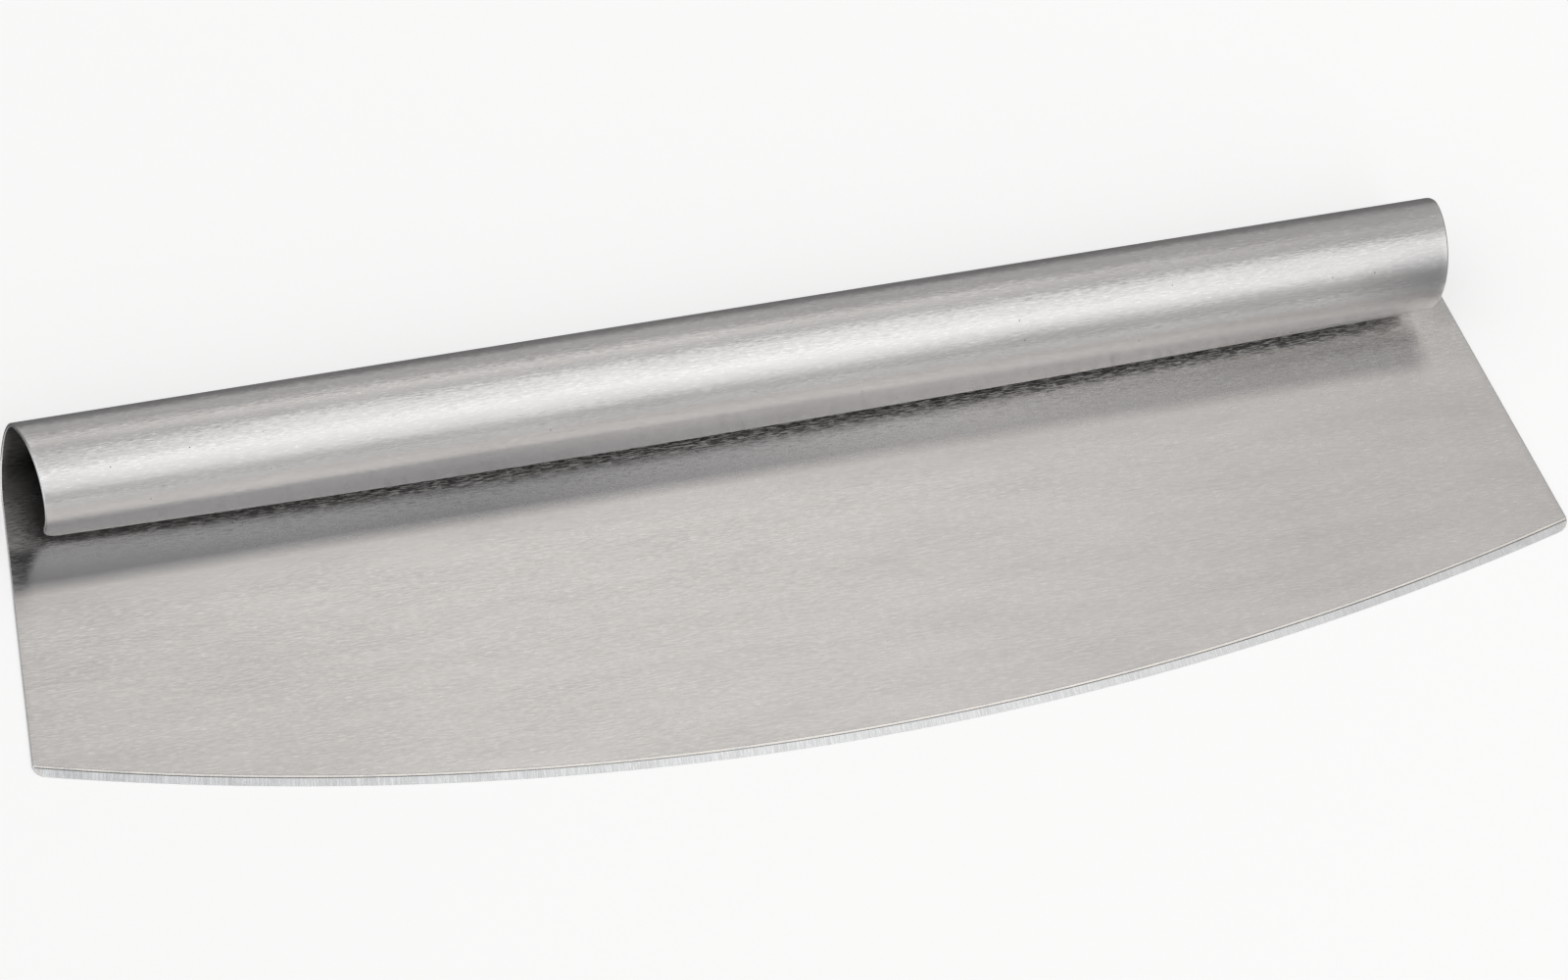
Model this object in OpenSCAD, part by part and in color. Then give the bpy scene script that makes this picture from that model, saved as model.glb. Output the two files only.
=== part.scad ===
// Rocking pizza cutter made from one sheet of steel.
// The sheet is flat below, ground along its curved edge, and rolled into a hollow grip along its top.
// It lies on its back. X runs along the grip, Y from the cutting edge towards the grip, and Z out of
// the front face. The origin lies on the back face, under the middle of the whole outline.

/* [Sheet] */
// Thickness of the sheet
sheet_t = 0.8; // [0.6:0.1:1.4]

/* [Blade] */
// Width between the two lower corners, before they are rounded
tip_w = 351; // [330:1:400]
// Width along the fold under the grip
fold_w = 327; // [280:1:348]
// Height of the straight sides, from the fold to the lower corners
side_h = 65.5; // [50:0.5:90]
// How far the middle of the curved edge hangs below its corners
edge_sag = 23.4; // [12:0.2:36]
// Radius of the two lower corners
corner_r = 3; // [2.6:0.2:8]

/* [Cutting edge] */
// Width of the ground bevel, seen from the front
grind_w = 1.8; // [1:0.1:2.4]
// Thickness that the grinding leaves at the very edge
edge_t = 0.1; // [0.05:0.05:0.3]

/* [Grip] */
// Outside diameter of the rolled grip
roll_d = 24; // [18:0.5:30]
// Tilt of the closing lip, which leans towards the grip's middle as it nears the blade
lip_tilt = 5; // [0:1:20]
// Height of the lip's free edge above the front of the blade
lip_gap = 2.9; // [0:0.1:5]
// How much less each end reaches at the lip's free edge than at the fold
end_draw = 5.8; // [1:0.1:10]
// Radius of the two corners of the lip
lip_corner_r = 4; // [1:0.5:5]

/* [Hidden] */

// Smoothness of the long curved edge, and of everything else that is round
edge_fn = 720;
round_fn = 96;
// Angle of the roll that each straight trim of its open ends covers
trim_step = 20;
// How far a cutter reaches past what it cuts
overrun = 1;

// The roll
roll_r = roll_d / 2;
inner_r = roll_r - sheet_t;
roll_turn = 270 + lip_tilt;
roll_arc = PI * roll_r * roll_turn / 180;
// Length of the lip on its outer face, from the end of the roll to its free edge
lip_h = (roll_r * (1 - cos(roll_turn)) - sheet_t - lip_gap) / cos(lip_tilt);
roll_len = roll_arc + lip_h;

// The outline: the middle of its height is at Y = 0
outline_h = roll_r + side_h + edge_sag;
fold_y = outline_h / 2 - roll_r;
tip_y = fold_y - side_h;
edge_r = (pow(tip_w / 2, 2) + pow(edge_sag, 2)) / (2 * edge_sag);
edge_centre = [0, tip_y - edge_sag + edge_r];

// The lower right corner: a circle that touches the straight side and the curved edge
fold_end = [fold_w / 2, fold_y];
tip = [tip_w / 2, tip_y];
side_dir = (tip - fold_end) / norm(tip - fold_end);
side_out = [-side_dir[1], side_dir[0]];
from_centre = fold_end - corner_r * side_out - edge_centre;
along = side_dir * from_centre;
corner_run = sqrt(pow(along, 2) - from_centre * from_centre + pow(edge_r - corner_r, 2)) - along;
corner_centre = fold_end - corner_r * side_out + corner_run * side_dir;
corner_on_side = corner_centre + corner_r * side_out;
corner_on_edge = edge_centre + (corner_centre - edge_centre) * edge_r / (edge_r - corner_r);
corner_past = tip + overrun * (tip - corner_centre) / norm(tip - corner_centre);

// The lip's own corner, in the flat lip: along it from the roll, and across it from the middle
lip_slope = atan((end_x(roll_arc) - end_x(roll_len)) / lip_h);
lip_corner_along = lip_h - lip_corner_r;
lip_corner_across = end_x(roll_arc) - tan(lip_slope) * lip_corner_along - lip_corner_r / cos(lip_slope);

// Half the width of the roll at a length along the rolled sheet, measured from the fold
function end_x(run) = fold_w / 2 - end_draw * pow(run / roll_len, 2);

// Length along the outside of the roll at an angle from the fold
function run_at(angle) = PI * roll_r * angle / 180;

module both_sides() {
  children();
  mirror([1, 0, 0]) children();
}

// Everything outside a rounded corner, between the two points where its circle touches
module corner_waste(centre, touch_a, past, touch_b, r) {
  difference() {
    polygon([centre, touch_a, past, touch_b]);
    translate(centre) circle(r = r, $fn = round_fn);
  }
}

// The flat sheet's straight sides with their rounded lower corners, open past the curved edge
module side_outline() {
  below_y = tip_y - edge_sag - overrun;
  below_x = fold_w / 2 + (tip_w - fold_w) / 2 * (fold_y - below_y) / side_h;
  difference() {
    polygon([
      [fold_w / 2, fold_y],
      [below_x, below_y],
      [-below_x, below_y],
      [-fold_w / 2, fold_y]
    ]);
    both_sides() corner_waste(corner_centre, corner_on_side, corner_past, corner_on_edge, corner_r);
  }
}

// Puts its children in the grip's own frame: its axis along X, and angle 0 straight down at the fold
module at_grip() {
  translate([0, fold_y, roll_r]) rotate([0, 90, 0]) children();
}

// Turns a flat shape at an angle of the roll: its first direction runs along the sheet, its second
// along the grip, and it is as thick as the sheet with the given margin on both faces
module on_roll(angle, margin) {
  rotate([0, 0, angle]) translate([inner_r - margin, 0, 0]) rotate([90, 0, 90])
    linear_extrude(sheet_t + 2 * margin) children();
}

// Trims both open ends of the roll so that they draw in from the fold to the lip. Each trim is
// straight, meets the next one on the outside of the roll, and runs on past it by half its width.
module end_trims() {
  half = roll_r * sin(trim_step / 2);
  reach = 2 * half;
  far = fold_w / 2 + 2 * overrun;
  for (angle = [0 : trim_step : roll_turn - trim_step / 2]) {
    start_x = end_x(run_at(angle));
    stop_x = end_x(run_at(angle + trim_step));
    middle_x = (start_x + stop_x) / 2;
    drawn = (start_x - stop_x) / 2 * reach / half;
    for (side = [-1, 1])
      on_roll(angle + trim_step / 2, overrun)
        polygon([
          [-reach, side * (middle_x + drawn)],
          [reach, side * (middle_x - drawn)],
          [reach, side * far],
          [-reach, side * far]
        ]);
  }
}

module lip_outline() {
  difference() {
    polygon([
      [0, end_x(roll_arc)],
      [lip_h, end_x(roll_len)],
      [lip_h, -end_x(roll_len)],
      [0, -end_x(roll_arc)]
    ]);
    for (side = [-1, 1])
      corner_waste(
        [lip_corner_along, side * lip_corner_across],
        [
          lip_corner_along + lip_corner_r * sin(lip_slope),
          side * (lip_corner_across + lip_corner_r * cos(lip_slope))
        ],
        [lip_h + overrun, side * (end_x(roll_len) + overrun)],
        [lip_h, side * lip_corner_across],
        lip_corner_r
      );
  }
}

module blade() {
  color("silver")
    linear_extrude(sheet_t) intersection() {
      side_outline();
      translate(edge_centre) circle(r = edge_r - grind_w, $fn = edge_fn);
    }
}

module cutting_edge() {
  half_turn = asin((tip_w / 2 + overrun) / edge_r);
  color("gainsboro")
    intersection() {
      translate(edge_centre) rotate([0, 0, -90 - half_turn])
        rotate_extrude(angle = 2 * half_turn, $fn = edge_fn)
          polygon([[edge_r - grind_w, 0], [edge_r, 0], [edge_r, edge_t], [edge_r - grind_w, sheet_t]]);
      translate([0, 0, -overrun]) linear_extrude(sheet_t + 2 * overrun) side_outline();
    }
}

module handle_roll() {
  color("darkgray")
    at_grip() difference() {
      rotate_extrude(angle = roll_turn, $fn = round_fn)
        translate([inner_r, -fold_w / 2 - overrun]) square([sheet_t, fold_w + 2 * overrun]);
      end_trims();
    }
}

module handle_lip() {
  color("gray")
    at_grip() on_roll(roll_turn, 0) lip_outline();
}

blade();
cutting_edge();
handle_roll();
handle_lip();
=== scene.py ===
import math

import bpy
import numpy as np
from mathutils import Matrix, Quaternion, Vector


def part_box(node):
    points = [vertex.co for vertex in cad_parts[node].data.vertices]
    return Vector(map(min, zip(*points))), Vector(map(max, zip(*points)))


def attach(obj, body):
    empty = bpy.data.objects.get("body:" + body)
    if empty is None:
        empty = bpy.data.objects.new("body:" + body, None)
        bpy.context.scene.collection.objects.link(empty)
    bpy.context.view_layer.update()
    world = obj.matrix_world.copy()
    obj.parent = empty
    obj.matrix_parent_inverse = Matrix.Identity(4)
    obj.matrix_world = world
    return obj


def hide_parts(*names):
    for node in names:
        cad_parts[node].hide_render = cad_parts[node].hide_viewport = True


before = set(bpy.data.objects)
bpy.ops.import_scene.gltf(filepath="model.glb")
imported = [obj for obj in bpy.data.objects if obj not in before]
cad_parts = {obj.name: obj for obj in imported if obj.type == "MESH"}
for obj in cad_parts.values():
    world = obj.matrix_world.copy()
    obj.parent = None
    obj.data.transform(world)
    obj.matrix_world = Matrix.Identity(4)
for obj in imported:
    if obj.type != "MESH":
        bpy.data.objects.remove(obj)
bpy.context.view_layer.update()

mm = 0.001
tiny = 1e-9
print("frame loaded:", ", ".join(sorted(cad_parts)))

# The camera stands where the photograph was taken from, far off with a long lens
cameraSetup = {
    "azimuth": -33.62,
    "elevation": 57.01,
    "roll": 20.03,
    "distance": 8429 * mm,
    "aim": (3.52 * mm, 7.75 * mm, 9.0 * mm),
    "lens": 900,
    "sensor": 36,
    # how far it sees
    "sight": 20,
}


def makeCamera(setup):
    data = bpy.data.cameras.new("camera")
    data.lens = setup["lens"]
    data.sensor_width = setup["sensor"]
    data.clip_end = setup["sight"]
    camera = bpy.data.objects.new("camera", data)
    azimuth = math.radians(setup["azimuth"])
    elevation = math.radians(setup["elevation"])
    back = Vector((
        math.sin(azimuth) * math.cos(elevation),
        -math.cos(azimuth) * math.cos(elevation),
        math.sin(elevation),
    ))
    camera.rotation_mode = "QUATERNION"
    upright = (-back).to_track_quat("-Z", "Y")
    camera.rotation_quaternion = upright @ Quaternion((0, 0, 1), math.radians(setup["roll"]))
    camera.location = Vector(setup["aim"]) + back * setup["distance"]
    bpy.context.scene.collection.objects.link(camera)
    bpy.context.scene.camera = camera


makeCamera(cameraSetup)
bpy.context.scene.view_settings.view_transform = "Standard"
print("camera placed")

# The sheet's thickness, the grip's roll and the fold line come from the frame
bladeLow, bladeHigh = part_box("blade")
rollLow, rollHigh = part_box("handle_roll")

stock = {
    "thickness": bladeHigh.z - bladeLow.z,
    # the cut edges are rounded, more on the outer face
    "outerRound": 0.3 * mm,
    "innerRound": 0.12 * mm,
    "roundSteps": 4,
    # how far from a cut edge the sheet is burnished
    "wearReach": 1.3 * mm,
    # points across a piece, and the closer ones by their distance from its ends
    "columns": 56,
    "nearColumns": (0.35 * mm, 0.8 * mm, 1.5 * mm, 3 * mm, 6 * mm),
}

# Which material a face gets
outerFace, cutFace, innerFace, burrShadeFace = range(4)


# Rounded cut edge: how far in from the outline, how deep in the sheet, how far the normal has turned
def rimProfile():
    steps = stock["roundSteps"]
    outer = stock["outerRound"]
    inner = stock["innerRound"]
    points = []
    for i in range(1, steps + 1):
        turn = i / steps * math.pi / 2
        points.append((outer * (1 - math.sin(turn)), outer * (1 - math.cos(turn)), turn))
    points.append((0, stock["thickness"] / 2, math.pi / 2))
    for i in range(steps):
        turn = math.pi / 2 * (1 + i / steps)
        depth = stock["thickness"] - inner * (1 + math.cos(turn))
        points.append((inner * (1 - math.sin(turn)), depth, turn))
    return points


rim = rimProfile()


def columnOffsets(half):
    # distances from the middle, closer together near the ends
    near = [half - d for d in stock["nearColumns"]]
    inner = np.linspace(0, near[-1], stock["columns"] // 2 + 1)[1:]
    right = list(inner) + near[-2::-1] + [half]
    return [-x for x in reversed(right)] + [0.0] + right


# A sheet-metal piece is built from rings of points: across the outer face, round the right cut edge,
# back across the inner face and round the left cut edge. place() bends the flat pattern into shape.
class SheetMesh:
    def __init__(self, place):
        self.place = place
        self.points = []
        self.normals = []
        self.uvs = []
        self.wear = []
        self.faces = []
        self.faceKinds = []

    def add(self, x, q, share, turn=0.0, out=(0.0, 0.0), wear=0.0):
        # share is the depth in the sheet, and the normal turns from the outer face towards out
        p, n, ex, eq = self.place(x, q, share)
        normal = n * math.cos(turn) + (ex * out[0] + eq * out[1]) * math.sin(turn)
        self.points.append(p)
        self.normals.append(normal.normalized())
        self.uvs.append((x, q))
        self.wear.append(wear)
        return len(self.points) - 1

    def face(self, corners, kind=cutFace):
        self.faces.append(corners)
        self.faceKinds.append(kind)

    def wearAt(self, distance):
        return max(0.0, 1 - distance / stock["wearReach"])

    def ring(self, row, end, thin=1.0, wornAndHighlight=0.0):
        # row: (x, q) of its points; end: outline point and normal of its right end; thin: share of the
        # full thickness that is left here; the last argument: burnish of the outer face, which on the
        # ground edge's shoulder is a painted highlight
        (endX, endQ), (outX, outQ) = end
        half = max(abs(x) for x, _ in row)
        ids = []
        kinds = []
        for x, q in row:
            ids.append(self.add(x, q, 0, wear=max(wornAndHighlight, self.wearAt(half - abs(x)))))
            kinds.append(outerFace)
        for side, steps in ((1, rim), (-1, rim[::-1])):
            for inset, depth, turn in steps:
                ids.append(self.add(
                    side * (endX - inset * outX * thin), endQ - inset * outQ * thin,
                    depth * thin / stock["thickness"], turn, (side * outX, outQ), 1.0,
                ))
                kinds.append(cutFace)
            if side == 1:
                for x, q in reversed(row):
                    ids.append(self.add(x, q, 1, math.pi, wear=self.wearAt(half - abs(x))))
                    kinds.append(innerFace)
        return ids, kinds

    def stack(self, rings):
        # joins each ring to the next one
        for (a, kinds), (b, _) in zip(rings, rings[1:]):
            for i, kind in enumerate(kinds):
                k = (i + 1) % len(kinds)
                self.face((a[i], a[k], b[k], b[i]), kind if kind == kinds[k] else cutFace)

    def stretches(self, ring, count):
        # the four stretches of a ring, all running to the right or from the outer face to the inner one
        afterRight = count + len(rim)
        afterInner = afterRight + count
        outer = ring[:count]
        right = ring[count:afterRight]
        inner = ring[afterRight:afterInner][::-1]
        left = ring[afterInner:][::-1]
        return outer, right, inner, left

    def cap(self, ring, count):
        # closes a cut across the sheet, where the next piece carries on
        outer, right, inner, left = self.stretches(ring, count)
        for i in range(count - 1):
            self.face((outer[i], outer[i + 1], inner[i + 1], inner[i]))
        self.face((outer[-1], *right, inner[-1]))
        self.face((inner[0], *left[::-1], outer[0]))

    def outward(self, face):
        # the same face, wound so that it looks out of the metal
        a, b, c = (self.points[i] for i in face[:3])
        d = self.points[face[-1]]
        way = (c - a).cross(d - b)
        lean = sum((self.normals[i] for i in face), Vector())
        return face if way.dot(lean) > 0 else face[::-1]

    def build(self, name, materials):
        mesh = bpy.data.meshes.new(name)
        mesh.from_pydata([tuple(p) for p in self.points], [], [self.outward(f) for f in self.faces])
        for material in materials:
            mesh.materials.append(material)
        for polygon, kind in zip(mesh.polygons, self.faceKinds):
            polygon.material_index = kind
            polygon.use_smooth = True
        uvLayer = mesh.uv_layers.new(name="pattern")
        for loop in mesh.loops:
            uvLayer.data[loop.index].uv = self.uvs[loop.vertex_index]
        wearLayer = mesh.attributes.new("wear", "FLOAT", "POINT")
        wearLayer.data.foreach_set("value", self.wear)
        mesh.validate()
        mesh.normals_split_custom_set_from_vertices([tuple(n) for n in self.normals])
        piece = bpy.data.objects.new(name, mesh)
        bpy.context.scene.collection.objects.link(piece)
        return piece


# The grip: x along it, q along the sheet from the fold, on the scale of the mean run
grip = {
    "radius": (rollHigh.z - rollLow.z) / 2,
    "foldY": bladeHigh.y,
    "foldWidth": rollHigh.x - rollLow.x,
    # length of sheet from the fold to the free edge, and how it changes along the grip
    "run": 64.5 * mm,
    "runSkew": -0.25 * mm,
    "runBow": 1.0 * mm,
    # how far the lip leans in, in degrees, and how that changes along the grip
    "lean": -0.7,
    "leanSkew": 6.5,
    "leanBow": 17.7,
    "bowSpan": 150 * mm,
    # how far each end has drawn in at the free edge
    "endDraw": 5.8 * mm,
    # behind the grip each end draws in a little more
    "backDraw": 1.35 * mm,
    "backReach": 29 * mm,
    "lipCorner": 4.2 * mm,
    # the roll's share of the run, the rest is the lip
    "rollShare": 0.885,
    "rollRows": 104,
    "lipRows": 6,
    "cornerRows": 10,
    # step for finding the sheet's directions
    "nudge": 0.05 * mm,
}


def leanAt(x):
    u = x / grip["bowSpan"]
    return math.radians(grip["lean"] + grip["leanSkew"] * u + grip["leanBow"] * u * u)


def runAt(x):
    u = x / grip["bowSpan"]
    return grip["run"] + grip["runSkew"] * u + grip["runBow"] * u * u


def gripPoint(x, q, depth):
    # round the roll first, then straight on over the lip
    r = grip["radius"]
    turn = 1.5 * math.pi + leanAt(x)
    run = q / grip["run"] * runAt(x)
    angle = min(run / r, turn)
    over = max(run - turn * r, 0.0)
    y = grip["foldY"] + (r - depth) * math.sin(angle) + over * math.cos(angle)
    z = r - (r - depth) * math.cos(angle) + over * math.sin(angle)
    return Vector((x, y, z))


def placeGrip(x, q, share):
    depth = share * stock["thickness"]
    h = grip["nudge"]
    ex = (gripPoint(x + h, q, depth) - gripPoint(x - h, q, depth)).normalized()
    eq = (gripPoint(x, q + h, depth) - gripPoint(x, max(q - h, 0), depth)).normalized()
    return gripPoint(x, q, depth), eq.cross(ex).normalized(), ex, eq


def gripHalf(q):
    back = math.sin(math.pi * min(q / grip["backReach"], 1)) * grip["backDraw"]
    return grip["foldWidth"] / 2 - grip["endDraw"] * (q / grip["run"]) ** 2 - back


def gripEnd(q):
    slope = -2 * grip["endDraw"] * q / grip["run"] ** 2
    out = Vector((1, -slope)).normalized()
    return (gripHalf(q), q), (out.x, out.y)


def gripRow(end, square=False):
    # one row of points; a seam with the next piece is cut square, so its row stays level
    (endX, endQ), (outX, outQ) = end
    inset = stock["outerRound"]
    q = endQ if square else endQ - inset * outQ
    return [(x, q) for x in columnOffsets(endX - inset * outX)]


def makeRoll(materials):
    sheet = SheetMesh(placeGrip)
    rings = []
    for q in np.linspace(0, grip["rollShare"] * grip["run"], grip["rollRows"] + 1):
        end = gripEnd(q)
        row = gripRow(end, square=True)
        rings.append(sheet.ring(row, end))
    sheet.stack(rings)
    for ring, _ in (rings[0], rings[-1]):
        sheet.cap(ring, len(row))
    return sheet.build("grip_roll", materials)


def makeLip(materials):
    sheet = SheetMesh(placeGrip)
    run = grip["run"]
    corner = grip["lipCorner"]
    # where the straight end meets the rounded corner
    startTurn = math.atan(2 * grip["endDraw"] / run)
    startQ = run - corner + corner * math.sin(startTurn)
    centreX = gripHalf(startQ) - corner * math.cos(startTurn)
    centreQ = run - corner
    ends = [gripEnd(q) for q in np.linspace(grip["rollShare"] * run, startQ, grip["lipRows"] + 1)]
    for turn in np.linspace(startTurn, math.pi / 2, grip["cornerRows"] + 1)[1:]:
        out = (math.cos(turn), math.sin(turn))
        ends.append(((centreX + corner * out[0], centreQ + corner * out[1]), out))
    rings = []
    for number, end in enumerate(ends):
        row = gripRow(end, square=number == 0)
        rings.append(sheet.ring(row, end))
    sheet.stack(rings)
    count = len(row)
    sheet.cap(rings[0][0], count)
    # the free edge, rounded over like the ends
    outer, right, inner, left = sheet.stretches(rings[-1][0], count)
    lines = [outer]
    for k, (inset, depth, turn) in enumerate(rim):
        share = depth / stock["thickness"]
        middle = [sheet.add(x, run - inset, share, turn, (0, 1), 1.0) for x, _ in row[1:-1]]
        lines.append([left[k], *middle, right[k]])
    lines.append(inner)
    for a, b in zip(lines, lines[1:]):
        for i in range(count - 1):
            sheet.face((a[i], a[i + 1], b[i + 1], b[i]))
    return sheet.build("grip_lip", materials)


# The blade: x along the grip, q along the sheet from the fold, so below it q is negative
blade = {
    "tipWidth": 350.99 * mm,
    "sideHeight": 65.5 * mm,
    "edgeSag": 23.4 * mm,
    "cornerRadius": 3 * mm,
    "rows": 30,
    "cornerRows": 5,
}

# The ground edge along the blade's curve
edge = {
    "width": 2.25 * mm,
    # across the edge: distance from the plate and height in mm, slope in degrees, and burnish, which on
    # the shoulder is a painted highlight
    "profile": [
        (0.0, 0.8, 6, 0),
        (0.04, 0.798, 17, 1),
        (0.38, 0.745, 20, 1),
        (0.42, 0.735, 22, 1),
        (0.44, 0.725, 40, 0),
        (0.62, 0.64, 40, 0),
        (0.65, 0.625, 22, 0),
        (1.1, 0.48, 22, 0),
        (1.7, 0.28, 22, 0),
        (2.22, 0.115, 22, 0),
        (2.24, 0.09, 60, 0),
        (2.25, 0.05, 90, 0),
    ],
    # the burr step between the shoulder, whose burnish is a painted highlight, and the bevel; its faces
    # get a dark colour, a painted shade line
    "burr": (0.43 * mm, 0.64 * mm),
}

halvings = 40
halfTip = blade["tipWidth"] / 2
tipQ = -blade["sideHeight"]
edgeRadius = (halfTip ** 2 + blade["edgeSag"] ** 2) / (2 * blade["edgeSag"])
edgeCentre = Vector((0, tipQ - blade["edgeSag"] + edgeRadius))
shoulderRadius = edgeRadius - edge["width"]
foldEnd = Vector((grip["foldWidth"] / 2, 0))
sideDown = (Vector((halfTip, tipQ)) - foldEnd).normalized()
sideOut = Vector((-sideDown.y, sideDown.x))


def findCorner():
    # the centre of the rounded lower corner, which touches the side and the curved edge
    r = blade["cornerRadius"]
    start = foldEnd - sideOut * r - edgeCentre
    along = sideDown.dot(start)
    run = math.sqrt(along ** 2 - start.dot(start) + (edgeRadius - r) ** 2) - along
    return start + edgeCentre + sideDown * run


cornerCentre = findCorner()
edgeOut = (cornerCentre - edgeCentre).normalized()
cornerLast = math.acos(max(-1.0, min(1.0, sideOut.dot(edgeOut))))


def cornerPoint(turn):
    # a point of the rounded corner; turn 0 is where the side ends, cornerLast where the curve starts
    out = sideOut * math.cos(turn) + sideDown * math.sin(turn)
    return cornerCentre + out * blade["cornerRadius"], out


def cornerTurnAt(radius):
    # the turn at which the rounded corner lies at this distance from the curved edge's centre
    low, high = 0.0, cornerLast
    for _ in range(halvings):
        middle = (low + high) / 2
        point, _out = cornerPoint(middle)
        if (point - edgeCentre).length < radius:
            low = middle
        else:
            high = middle
    return (low + high) / 2


def placeBlade(x, q, share):
    z = stock["thickness"] * (1 - share)
    return Vector((x, grip["foldY"] + q, z)), Vector((0, 0, 1)), Vector((1, 0, 0)), Vector((0, 1, 0))


def makeBlade(materials):
    sheet = SheetMesh(placeBlade)
    ends = []
    for q in np.linspace(0, 1, blade["rows"] + 1) * cornerPoint(0)[0].y:
        ends.append(((foldEnd.x + sideDown.x / sideDown.y * q, q), tuple(sideOut)))
    for turn in np.linspace(0, cornerTurnAt(shoulderRadius), blade["cornerRows"] + 1)[1:]:
        point, out = cornerPoint(turn)
        ends.append((tuple(point), tuple(out)))
    lastQ = ends[-1][0][1]
    rings = []
    for end in ends:
        (endX, endQ), (outX, outQ) = end
        # the rows bend from the straight fold to the curved shoulder, and both seams are cut square
        bow = endQ / lastQ
        inset = stock["outerRound"]
        inX = endX - inset * outX
        inQ = endQ - inset * outQ if 0 < bow < 1 else endQ
        row = []
        for x in columnOffsets(inX):
            drop = math.sqrt(shoulderRadius ** 2 - x * x) - math.sqrt(shoulderRadius ** 2 - inX * inX)
            row.append((x, inQ - bow * drop))
        rings.append(sheet.ring(row, end))
    sheet.stack(rings)
    for ring, _ in (rings[0], rings[-1]):
        sheet.cap(ring, len(row))
    return sheet.build("blade_plate", materials)


# On the ground edge x is the distance along the curve, and q the distance out from the shoulder
def profileAt(out):
    steps = edge["profile"]
    for (a, za, sa, _), (b, zb, sb, _) in zip(steps, steps[1:]):
        if out <= b * mm + tiny:
            k = (out / mm - a) / (b - a)
            return (za + (zb - za) * k) * mm, sa + (sb - sa) * k
    return steps[-1][1] * mm, steps[-1][2]


def placeEdge(x, q, share):
    angle = x / edgeRadius
    height, slope = profileAt(q)
    slope = math.radians(slope)
    radial = Vector((math.sin(angle), -math.cos(angle), 0))
    along = Vector((math.cos(angle), math.sin(angle), 0))
    centre = Vector((0, grip["foldY"] + edgeCentre.y, height * (1 - share)))
    upwards = Vector((0, 0, 1))
    # the bevel is ground from the front alone, and the back half stays flat
    normal = upwards if share > 0.5 else upwards * math.cos(slope) + radial * math.sin(slope)
    return centre + radial * (shoulderRadius + q), normal, along, radial


def makeEdge(materials):
    sheet = SheetMesh(placeEdge)
    burrStart, burrEnd = edge["burr"]
    plateHeight = edge["profile"][0][1]
    rings = []
    for distance, height, _, shoulderHighlight in edge["profile"]:
        q = distance * mm
        turn = cornerTurnAt(shoulderRadius + q) if q < edge["width"] - tiny else cornerLast
        point, out = cornerPoint(turn)
        away = point - edgeCentre
        angle = math.atan2(away.x, -away.y)
        outX = out.dot(Vector((math.cos(angle), math.sin(angle))))
        endX = angle * edgeRadius
        thin = height / plateHeight
        row = [(x, q) for x in columnOffsets(endX - stock["outerRound"] * outX * thin)]
        ids, kinds = sheet.ring(row, ((endX, q), (outX, 0.0)), thin, shoulderHighlight)
        if burrStart < q < burrEnd:
            kinds = [burrShadeFace if kind == outerFace else kind for kind in kinds]
        rings.append((ids, kinds))
    sheet.stack(rings)
    for ring, _ in (rings[0], rings[-1]):
        sheet.cap(ring, len(row))
    return sheet.build("ground_edge", materials)


# Materials
class NodeTree:
    def __init__(self, material):
        self.tree = material.node_tree

    def add(self, kind, **settings):
        node = self.tree.nodes.new(kind)
        for name, value in settings.items():
            setattr(node, name, value)
        return node

    def link(self, a, b):
        self.tree.links.new(a, b)

    def calc(self, operation, a, b=0):
        node = self.add("ShaderNodeMath", operation=operation)
        for socket, value in zip(node.inputs, (a, b)):
            if isinstance(value, (int, float)):
                socket.default_value = value
            else:
                self.link(value, socket)
        return node.outputs[0]

    def product(self, first, *others):
        for other in others:
            first = self.calc("MULTIPLY", first, other)
        return first

    def spread(self, value, low, high, start=0.3, end=0.7, curve="LINEAR"):
        # the range from start to end, by default a noise's middle range, stretched between two values
        node = self.add("ShaderNodeMapRange", interpolation_type=curve)
        limits = {"From Min": start, "From Max": end, "To Min": low, "To Max": high}
        for name, number in limits.items():
            node.inputs[name].default_value = number
        self.link(value, node.inputs["Value"])
        return node.outputs["Result"]

    def split(self, vector):
        node = self.add("ShaderNodeSeparateXYZ")
        self.link(vector, node.inputs[0])
        return node.outputs


def newMaterial(name):
    material = bpy.data.materials.new(name)
    material.use_nodes = True
    return material


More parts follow.
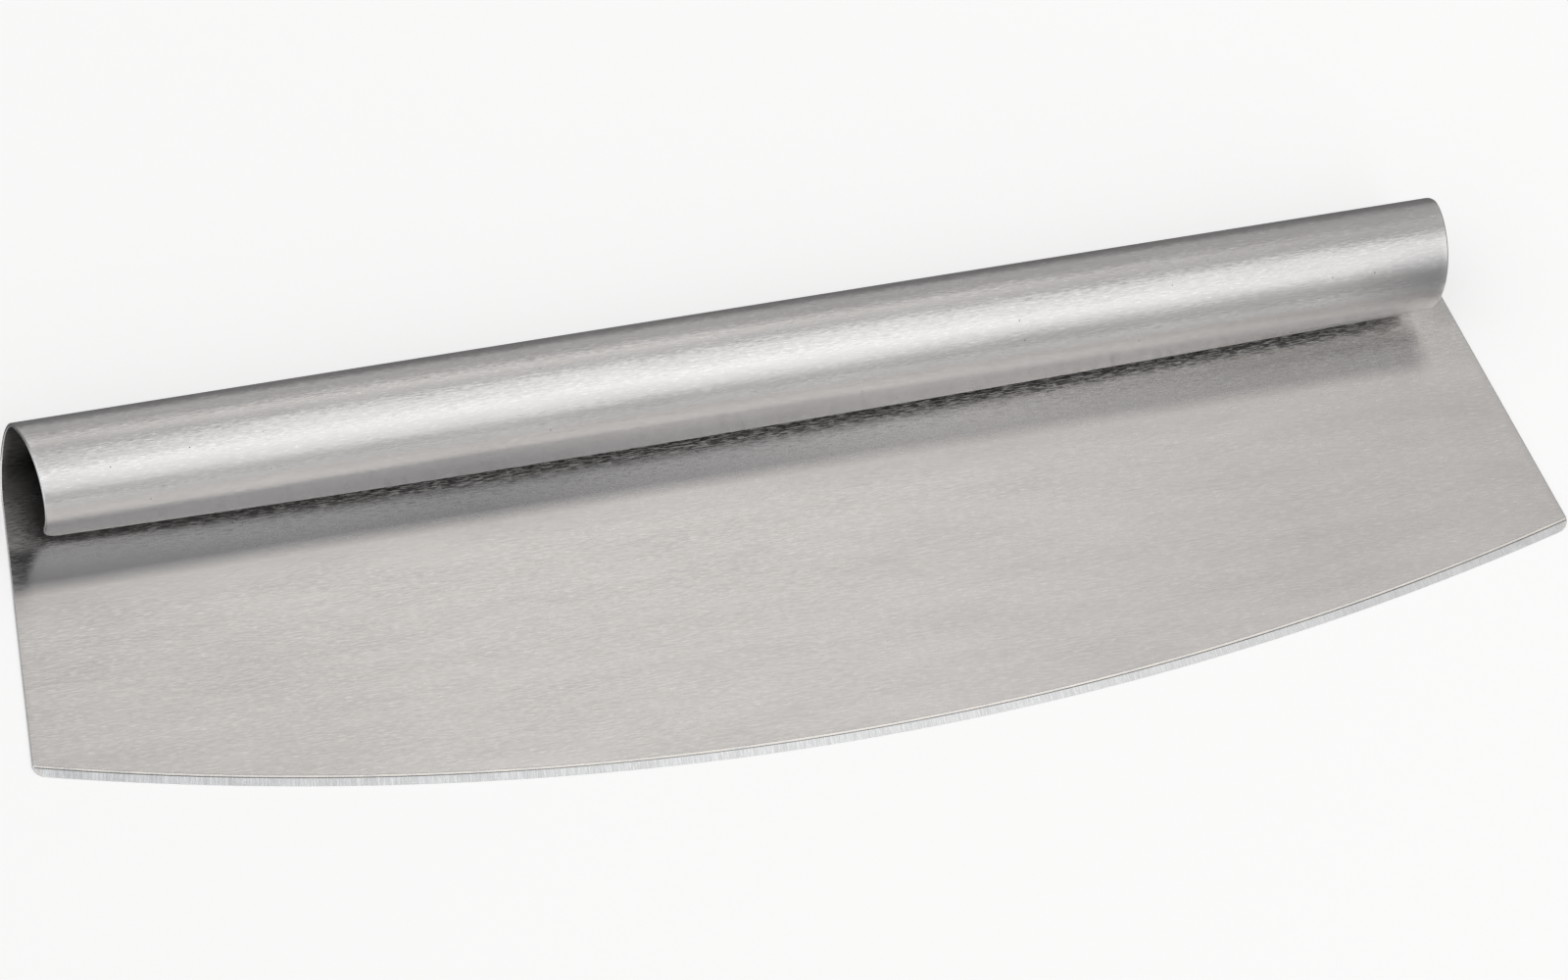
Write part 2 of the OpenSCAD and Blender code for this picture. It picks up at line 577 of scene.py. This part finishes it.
class Finish(NodeTree):
    # a steel surface under construction: its node tree, and the sockets that the layers hang on
    def __init__(self, name, setup):
        self.material = newMaterial(name)
        super().__init__(self.material)
        self.setup = setup
        self.shader = self.tree.nodes["Principled BSDF"]
        self.shader.inputs["Metallic"].default_value = setup["metallic"]
        self.shader.inputs["Anisotropic"].default_value = setup["anisotropy"]
        self.shader.inputs["Anisotropic Rotation"].default_value = setup["turn"]
        tangent = self.add("ShaderNodeTangent", direction_type="UV_MAP", uv_map="pattern")
        self.link(tangent.outputs["Tangent"], self.shader.inputs["Tangent"])
        self.pattern = self.add("ShaderNodeUVMap", uv_map="pattern").outputs["UV"]
        self.x, self.q, _ = self.split(self.pattern)

    def scaled(self, length, width, x=0, q=0):
        # the flat pattern, measured in lengths and widths from one point of it
        node = self.add("ShaderNodeMapping")
        node.inputs["Location"].default_value = (-x / length, -q / width, 0)
        node.inputs["Scale"].default_value = (1 / length, 1 / width, 1)
        self.link(self.pattern, node.inputs["Vector"])
        return node.outputs["Vector"]

    def streaks(self, kind):
        # noise stretched along the grip
        noise = self.add("ShaderNodeTexNoise", noise_dimensions="2D")
        noise.inputs["Scale"].default_value = 1
        noise.inputs["Detail"].default_value = self.setup["noiseDetail"]
        noise.inputs["Roughness"].default_value = self.setup["noiseRoughness"]
        self.link(self.scaled(*self.setup[kind]), noise.inputs["Vector"])
        return noise.outputs["Fac"]

    def blend(self, a, b, share):
        node = self.add("ShaderNodeMix", data_type="FLOAT")
        node.inputs["Factor"].default_value = share
        self.link(a, node.inputs[2])
        self.link(b, node.inputs[3])
        return node.outputs[0]

    def tint(self, share, dark, light):
        node = self.add("ShaderNodeMix", data_type="RGBA")
        for socket, colour in ((node.inputs[6], dark), (node.inputs[7], light)):
            if isinstance(colour, tuple):
                socket.default_value = (*colour, 1)
            else:
                self.link(colour, socket)
        self.link(share, node.inputs["Factor"])
        return node.outputs[2]

    def tilt(self, value):
        # leans the surface across the grain, by the grain's own height
        amount = self.setup["tilt"]
        upright = 0.5
        colour = self.add("ShaderNodeCombineXYZ")
        colour.inputs["X"].default_value = upright
        colour.inputs["Z"].default_value = 1
        self.link(self.spread(value, upright - amount, upright + amount, 0, 1), colour.inputs["Y"])
        node = self.add("ShaderNodeNormalMap", space="TANGENT", uv_map="pattern")
        self.link(colour.outputs[0], node.inputs["Color"])
        return node.outputs["Normal"]

    def nearFold(self, layer):
        # the sheet turns from the plate's colour to its finish's colour as it rolls away from the fold;
        # inside the roll that colour is painted shade
        return self.spread(self.q, 1, 0, 0, layer["reach"])

    def paintedFoldShade(self, layer):
        # painted shade: the strip beside the fold, under the grip, is painted darker, most of all on
        # the left, where it also reaches further in under the lip, and it stops short of the right side
        near = self.spread(self.q, 0, 1, -layer["reach"], layer["fade"] - layer["reach"])
        deeper = self.spread(self.x, layer["deeper"], 0, *layer["deeperAlong"])
        inside = self.spread(self.calc("SUBTRACT", self.q, deeper), 1, 0, *layer["inner"])
        depth = self.spread(self.x, layer["left"], layer["right"], *layer["along"])
        kept = self.spread(self.x, 1, layer["kept"], *layer["rightStop"])
        return self.product(near, inside, depth, kept)

    def paintedLipLight(self, layer):
        # painted light: the lip is painted lighter on the left
        side = self.spread(self.x, layer["most"], 0, *layer["along"])
        return self.product(self.spread(self.q, 0, 1, *layer["across"]), side)

    def paintedEndShade(self, layer):
        # painted shade: one soft oval dark patch
        away = self.add("ShaderNodeVectorMath", operation="LENGTH")
        self.link(self.scaled(*layer["size"], *layer["place"]), away.inputs[0])
        return self.spread(away.outputs["Value"], layer["depth"], 0, *layer["fade"])

    def pits(self, layer):
        # a few tiny specks: each cell draws its own size, and most come to nothing
        cell = layer["cell"]
        cells = self.add("ShaderNodeTexVoronoi", voronoi_dimensions="2D")
        cells.inputs["Scale"].default_value = 1
        self.link(self.scaled(cell, cell), cells.inputs["Vector"])
        luck = self.split(cells.outputs["Color"])[0]
        size = self.spread(luck, 0, layer["size"] / cell, *layer["luck"])
        return self.calc("GREATER_THAN", size, cells.outputs["Distance"])

    def paintedLightFilm(self, layer):
        # painted light: a thin grey, less metallic film that lifts the shade, a trace of it where the
        # sheet is sheltered, and more by the open ends
        fromMiddle = self.calc("ABSOLUTE", self.x)
        ends = self.spread(fromMiddle, layer["trace"], layer["most"], *layer["along"])
        sheltered = self.spread(self.q, 0, 1, *layer["across"])
        return self.product(ends, sheltered, self.spread(self.streaks("dash"), layer["least"], 1))

    def scatter(self):
        # how much the scratches roughen, with more of it where the lip rubs the plate
        base = self.setup["scatter"]
        if "rub" not in self.setup:
            return base
        layer = self.setup["rub"]
        most = layer["most"]
        rise = self.spread(self.q, base, most, *layer["rise"])
        fall = self.spread(self.q, 1, base / most, *layer["fall"])
        return self.product(rise, fall, self.spread(self.x, layer["left"], 1, *layer["along"]))


def brushedSteel(name, setup):
    finish = Finish(name, setup)
    shader = finish.shader
    hair = finish.streaks("hair")
    line = finish.streaks("line")
    cloud = finish.streaks("cloud")
    grain = finish.blend(hair, line, setup["lineShare"])

    tone = finish.spread(finish.blend(grain, cloud, setup["cloudShare"]), 0, 1, *setup["toneRange"])
    colour = finish.tint(tone, setup["dark"], setup["light"])
    if "nearFold" in setup:
        layer = setup["nearFold"]
        colour = finish.tint(finish.nearFold(layer), colour, layer["colour"])
    glint = finish.spread(finish.streaks("dash"), 0, setup["glint"], *setup["glintRange"])
    colour = finish.tint(glint, colour, (1, 1, 1))
    # painted shade and light: a dark strip under the grip, a lighter lip on the left, and a dark patch
    # at the grip's right end
    masks = {"paintedFoldShade": finish.paintedFoldShade, "paintedLipLight": finish.paintedLipLight, "paintedEndShade": finish.paintedEndShade}
    for layerName, mask in masks.items():
        if layerName in setup:
            layer = setup[layerName]
            colour = finish.tint(mask(layer), colour, layer["colour"])

    rough = finish.spread(finish.blend(line, cloud, setup["roughCloudShare"]), *setup["roughness"])
    # the coarser scratches scatter light widely, so they show light in dark reflections
    scratch = finish.spread(finish.streaks("scratch"), 0, 1, *setup["scratchRange"])
    rough = finish.calc("ADD", rough, finish.product(scratch, finish.scatter()))
    if "pits" in setup:
        layer = setup["pits"]
        pits = finish.pits(layer)
        colour = finish.tint(pits, colour, layer["colour"])
        rough = finish.calc("ADD", rough, finish.product(pits, layer["rough"]))
    # handling burnishes the sheet beside its cut edges, in patches; on the ground edge's shoulder the
    # same mask paints a cream highlight
    wear = finish.add("ShaderNodeAttribute", attribute_name="wear").outputs["Fac"]
    patchy = finish.product(wear, finish.spread(cloud, setup["wearLeast"], 1))
    colour = finish.tint(finish.product(patchy, setup["wearShare"]), colour, setup["wornAndHighlight"])
    rough = finish.calc("SUBTRACT", rough, finish.product(patchy, setup["wearPolish"]))
    # painted light: a grey, less metallic film lifts the shade under the lip and by the open ends
    if "paintedLightFilm" in setup:
        layer = setup["paintedLightFilm"]
        paintedLightFilm = finish.paintedLightFilm(layer)
        colour = finish.tint(paintedLightFilm, colour, layer["colour"])
        finish.link(finish.calc("SUBTRACT", 1, paintedLightFilm), shader.inputs["Metallic"])
    finish.link(colour, shader.inputs["Base Color"])
    finish.link(rough, shader.inputs["Roughness"])

    bump = finish.add("ShaderNodeBump")
    bump.inputs["Strength"].default_value = 1
    bump.inputs["Distance"].default_value = setup["depth"]
    finish.link(grain, bump.inputs["Height"])
    finish.link(finish.tilt(grain), bump.inputs["Normal"])
    finish.link(bump.outputs["Normal"], shader.inputs["Normal"])
    return finish.material


# Hair, line, cloud, dash and scratch are streaks: their length along the grip and width across it
flatFinish = {
    "metallic": 1, "anisotropy": 0.97, "turn": 0.25,
    "hair": (2.2 * mm, 0.2 * mm), "line": (9 * mm, 0.36 * mm), "cloud": (45 * mm, 7 * mm),
    "noiseDetail": 2, "noiseRoughness": 0.6,
    "lineShare": 0.3, "cloudShare": 0.35, "toneRange": (0.35, 0.65),
    "dark": (0.555, 0.545, 0.54), "light": (0.645, 0.635, 0.63),
    "dash": (2.6 * mm, 0.3 * mm), "glint": 0.26, "glintRange": (0.58, 0.78),
    "roughness": (0.175, 0.205), "roughCloudShare": 0.5,
    "scratch": (3.2 * mm, 0.22 * mm), "scatter": 0.08, "scratchRange": (0.5, 0.7),
    "wornAndHighlight": (0.70, 0.69, 0.68), "wearShare": 0.6, "wearLeast": 0.3, "wearPolish": 0.04,
    "depth": 0.01 * mm, "tilt": 0.1,
}
# The plate's layers lie at x along the grip and at q across it, from the fold down
plateFinish = dict(
    flatFinish, dark=(0.705, 0.68, 0.662), light=(0.775, 0.75, 0.732),
    # painted shade: a dark strip beside the fold, under the grip
    paintedFoldShade={
        "reach": 23 * mm, "fade": 3.5 * mm, "inner": (-14 * mm, -11 * mm),
        "left": 0.61, "right": 0.33, "along": (-60 * mm, 60 * mm),
        "deeper": 1.5 * mm, "deeperAlong": (-150 * mm, -60 * mm),
        "kept": 0.15, "rightStop": (153 * mm, 158 * mm), "colour": (0, 0.01, 0.03),
    },
    rub={
        "rise": (-22 * mm, -13 * mm), "fall": (-13 * mm, 12 * mm), "most": 0.42,
        "left": 0.28, "along": (-150 * mm, -60 * mm),
    },
    # painted light under the lip and by the open ends
    paintedLightFilm={
        "along": (157 * mm, 163 * mm), "across": (-13.5 * mm, -10.5 * mm),
        "trace": 0.12, "most": 0.7, "least": 0.35, "colour": (0.6, 0.59, 0.58),
    },
)
rollFinish = dict(
    flatFinish, roughness=(0.185, 0.205), line=(14 * mm, 0.4 * mm), tilt=0.11, scatter=0.05,
    pits={
        "cell": 9 * mm, "size": 0.2 * mm, "luck": (0.55, 1), "rough": 0.3, "colour": (0.4, 0.39, 0.38),
    },
    # painted shade: a dark patch low on the grip's right end
    paintedEndShade={
        "place": (165 * mm, 49 * mm), "size": (32 * mm, 8 * mm), "depth": 0.35, "fade": (0.3, 1),
        "colour": (0, 0.01, 0.02),
    },
    # painted light: the lip's left part is painted lighter
    paintedLipLight={
        "across": (54 * mm, 59 * mm), "along": (-150 * mm, -40 * mm), "most": 0.8,
        "colour": (0.86, 0.85, 0.84),
    },
)
# The inside of the roll was never brushed; its near-black colour is painted shade, which eases towards
# the fold and by the open ends
innerShadeFinish = dict(
    flatFinish, anisotropy=0.9, roughness=(0.25, 0.35),
    dark=(0.06, 0.058, 0.056), light=(0.13, 0.127, 0.124),
    glint=0.05, scatter=0.06, wornAndHighlight=(0.6, 0.59, 0.58),
    nearFold={"reach": 8 * mm, "colour": (0.7, 0.68, 0.66)},
    # painted light: the inside is lighter by the open ends
    paintedLightFilm={
        "along": (154 * mm, 162 * mm), "across": (-2 * mm, -1 * mm),
        "trace": 0, "most": 0.5, "least": 0.35, "colour": (0.55, 0.53, 0.51),
    },
)
# The grinding marks run across the edge
groundFinish = dict(
    flatFinish, anisotropy=0.8, turn=0, roughness=(0.22, 0.3),
    hair=(0.2 * mm, 3 * mm), line=(0.5 * mm, 6 * mm), cloud=(6 * mm, 5 * mm),
    dark=(0.70, 0.70, 0.702), light=(0.86, 0.86, 0.862),
    dash=(0.2 * mm, 3 * mm), glint=0.25, scratch=(0.3 * mm, 3 * mm), scatter=0.05,
    # the cream wear colour is a painted highlight on the shoulder, and wear by the cut ends
    wornAndHighlight=(1.0, 0.93, 0.85), wearShare=1, wearPolish=0,
)
cutFinish = dict(flatFinish, anisotropy=0.3, roughness=(0.25, 0.35), wearShare=0.3)
# painted shade: the burr step's dark colour
burrShadeFinish = dict(
    cutFinish, dark=(0.26, 0.255, 0.25), light=(0.36, 0.355, 0.35), wearShare=0, glint=0.05,
)

plateSteel = brushedSteel("plate_steel", plateFinish)
rollSteel = brushedSteel("roll_steel", rollFinish)
groundSteel = brushedSteel("ground_steel", groundFinish)
cutSteel = brushedSteel("cut_steel", cutFinish)
burrShadeSteel = brushedSteel("burr_painted_shade_steel", burrShadeFinish)
innerShadeSteel = brushedSteel("inner_painted_shade_steel", innerShadeFinish)
print("materials made")

# Each list of materials runs as the face kinds do: outer, cut, inner, burr; the burr's dark material is
# painted shade
pieces = [
    (makeBlade([plateSteel, cutSteel, plateSteel]), "blade", "brushed_flat"),
    (makeEdge([groundSteel, cutSteel, plateSteel, burrShadeSteel]), "cutting_edge", "ground_bevel"),
    (makeRoll([rollSteel, cutSteel, innerShadeSteel]), "handle_roll", "brushed_roll"),
    (makeLip([rollSteel, cutSteel, innerShadeSteel]), "handle_lip", "brushed_roll"),
]
for piece, node, slot in pieces:
    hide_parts(node)
    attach(piece, "root")
print("pieces made")


# The studio: a pale floor, a pale room, and five soft light cards that stand round the grip's axis.
# A card's direction is in degrees, from behind the grip (0) over the top (90) to the front (180), and
# its middle is its place along the axis.
cardDistance = 1.5
cards = {
    "frontCard": {
        "direction": 118, "middle": 0.50, "size": (0.60, 3.2), "turn": 6,
        "strength": 0.78, "softness": 0.34, "colour": (0.99, 1.0, 1.01),
    },
    "keyCard": {
        "direction": 120, "middle": 0.41, "size": (0.54, 0.48), "turn": -5.5,
        "strength": 0.48, "softness": 0.5, "colour": (0.99, 1.0, 1.01),
    },
    "topCard": {
        "direction": 48, "middle": 0.394, "size": (0.70, 0.66), "turn": 21,
        "strength": 0.74, "softness": 0.8, "colour": (1.03, 1.0, 0.975),
    },
    "backCard": {
        "direction": 3, "middle": 0.40, "size": (0.70, 0.52), "turn": 0,
        "strength": 0.34, "softness": 0.79, "colour": (1.0, 1.0, 1.0),
    },
    # this one shows in the bevel, and is seen in reflections alone
    "rimCard": {
        "direction": 125, "middle": -1.6, "size": (2.4, 4.4), "turn": 0,
        "strength": 1.6, "softness": 0.35, "colour": (0.91, 1.0, 1.10), "diffuse": False,
    },
}
room = {"colour": (0.505, 0.50, 0.495)}
ground = {"reach": 6, "drop": 0.05 * mm, "colour": (0.80, 0.80, 0.80), "glow": 0.48}
matt = 0.9
# Dark cards: two lie just above the floor, behind the grip and on the right, and one stands there
flags = {
    "backFlag": {
        "colour": (0.27, 0.27, 0.27),
        "corners": ((-1.5, 0.05, 0.0004), (2, 0.05, 0.0004), (2, 1.4, 0.0004), (-1.5, 1.4, 0.0004)),
    },
    "sideFlag": {
        "colour": (0.05, 0.055, 0.07),
        "corners": ((0.55, -0.25, 0.001), (0.55, 0.5, 0.001), (0.55, 0.5, 0.14), (0.55, -0.25, 0.14)),
    },
    "rightFlag": {
        "colour": (0.05, 0.055, 0.07),
        "corners": (
            (0.19, -0.25, 0.0004), (0.55, -0.25, 0.0004), (0.55, 0.049, 0.0004), (0.19, 0.049, 0.0004),
        ),
    },
}


def flatPiece(name, corners, material):
    mesh = bpy.data.meshes.new(name)
    mesh.from_pydata(corners, [], [(0, 1, 2, 3)])
    uvLayer = mesh.uv_layers.new(name="pattern")
    for loop, uv in zip(mesh.loops, ((0, 0), (1, 0), (1, 1), (0, 1))):
        uvLayer.data[loop.index].uv = uv
    mesh.materials.append(material)
    piece = bpy.data.objects.new(name, mesh)
    bpy.context.scene.collection.objects.link(piece)
    return piece


def mattMaterial(name, colour):
    material = newMaterial(name)
    shader = material.node_tree.nodes["Principled BSDF"]
    shader.inputs["Base Color"].default_value = (*colour, 1)
    shader.inputs["Roughness"].default_value = matt
    return material


def cardGlow(name, setup):
    # light that fades out towards the card's borders, from its front side alone
    material = newMaterial(name)
    nodes = NodeTree(material)
    nodes.tree.nodes.clear()
    place = nodes.add("ShaderNodeUVMap", uv_map="pattern").outputs["UV"]
    behind = nodes.add("ShaderNodeNewGeometry").outputs["Backfacing"]
    level = nodes.spread(behind, setup["strength"], 0, 0, 1)
    for across in nodes.split(place)[:2]:
        away = nodes.calc("ABSOLUTE", nodes.calc("SUBTRACT", across, 0.5))
        fade = nodes.spread(away, 0, 1, 0.5, 0.5 * (1 - setup["softness"]), "SMOOTHSTEP")
        level = nodes.product(level, fade)
    glow = nodes.add("ShaderNodeEmission")
    glow.inputs["Color"].default_value = (*setup["colour"], 1)
    nodes.link(level, glow.inputs["Strength"])
    # the room shows through the card, so it only adds light
    clear = nodes.add("ShaderNodeBsdfTransparent")
    both = nodes.add("ShaderNodeAddShader")
    nodes.link(glow.outputs[0], both.inputs[0])
    nodes.link(clear.outputs[0], both.inputs[1])
    output = nodes.add("ShaderNodeOutputMaterial")
    nodes.link(both.outputs[0], output.inputs["Surface"])
    return material


def makeCard(name, setup):
    direction = math.radians(setup["direction"])
    turn = math.radians(setup["turn"])
    gripAxis = Vector((1, 0, 0))
    outwards = Vector((0, math.cos(direction), math.sin(direction)))
    upwards = Vector((0, -math.sin(direction), math.cos(direction)))
    alongCard = gripAxis * math.cos(turn) + upwards * math.sin(turn)
    acrossCard = upwards * math.cos(turn) - gripAxis * math.sin(turn)
    centre = outwards * cardDistance + gripAxis * setup["middle"]
    length, width = setup["size"]
    corners = [
        centre + alongCard * length / 2 * i + acrossCard * width / 2 * k
        for i, k in ((-1, -1), (1, -1), (1, 1), (-1, 1))
    ]
    card = flatPiece(name, corners, cardGlow(name, setup))
    card.visible_camera = False
    card.visible_shadow = False
    card.visible_diffuse = setup.get("diffuse", True)


def makeFlag(name, setup):
    # a dark card that shows in reflections alone
    card = flatPiece(name, setup["corners"], mattMaterial(name, setup["colour"]))
    card.visible_camera = False
    card.visible_diffuse = False
    card.visible_shadow = False


def makeFloor(setup):
    material = mattMaterial("floor", setup["colour"])
    nodes = NodeTree(material)
    shader = nodes.tree.nodes["Principled BSDF"]
    # no gloss, so that the cards just above the floor leave no trace on it
    shader.inputs["Specular IOR Level"].default_value = 0
    # a little brighter for the eye and in reflections, so that it looks near white under soft light
    rays = nodes.add("ShaderNodeLightPath").outputs
    seen = nodes.calc("MAXIMUM", rays["Is Camera Ray"], rays["Is Glossy Ray"])
    seen = nodes.calc("MAXIMUM", seen, rays["Is Transmission Ray"])
    shader.inputs["Emission Color"].default_value = (1, 1, 1, 1)
    nodes.link(nodes.product(seen, setup["glow"]), shader.inputs["Emission Strength"])
    reach, z = setup["reach"], -setup["drop"]
    corners = [(-reach, -reach, z), (reach, -reach, z), (reach, reach, z), (-reach, reach, z)]
    flatPiece("floor", corners, material)


world = bpy.data.worlds.new("room")
bpy.context.scene.world = world
world.use_nodes = True
world.node_tree.nodes["Background"].inputs["Color"].default_value = (*room["colour"], 1)
for name, setup in cards.items():
    makeCard(name, setup)
for name, setup in flags.items():
    makeFlag(name, setup)
makeFloor(ground)
print("studio lit")
